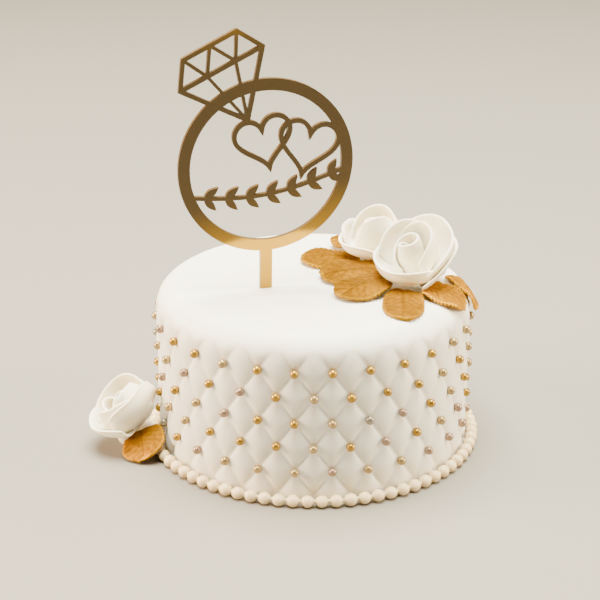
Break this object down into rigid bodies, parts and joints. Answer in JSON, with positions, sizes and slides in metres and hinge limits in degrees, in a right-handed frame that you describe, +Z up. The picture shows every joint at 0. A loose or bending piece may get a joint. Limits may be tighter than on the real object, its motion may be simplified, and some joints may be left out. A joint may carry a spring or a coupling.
{
  "type": "wedding cake",
  "caption": "Round single-tier wedding cake with a quilted fondant side, sugar pearls, white sugar roses, gold leaves and a gold ring topper.",
  "frame": {"origin": "middle of the cake's flat underside", "axes": "+Z up, -Y towards the front of the cake as decorated"},
  "size_m": [0.2763, 0.2368, 0.296],
  "materials": {
    "fondant": "satin rolled sugar fondant, warm white",
    "pearl_strand": "pearl lustre, cream",
    "sugar_paste": "matt sugar paste, ivory",
    "gold_leaf": "sugar paste brushed with gold lustre",
    "mirror_gold": "gold mirror-finish acrylic sheet"
  },
  "bodies": {
    "root": {"cake": "fondant", "pearl_strand": "pearl_strand", "rose_top_front": "sugar_paste", "rose_top_back": "sugar_paste", "rose_base": "sugar_paste", "leaf_0": "gold_leaf", "leaf_1": "gold_leaf", "leaf_2": "gold_leaf", "leaf_3": "gold_leaf", "leaf_4": "gold_leaf", "leaf_5": "gold_leaf", "leaf_hanging": "gold_leaf", "leaf_base": "gold_leaf", "topper": "mirror_gold"}
  },
  "joints": []
}
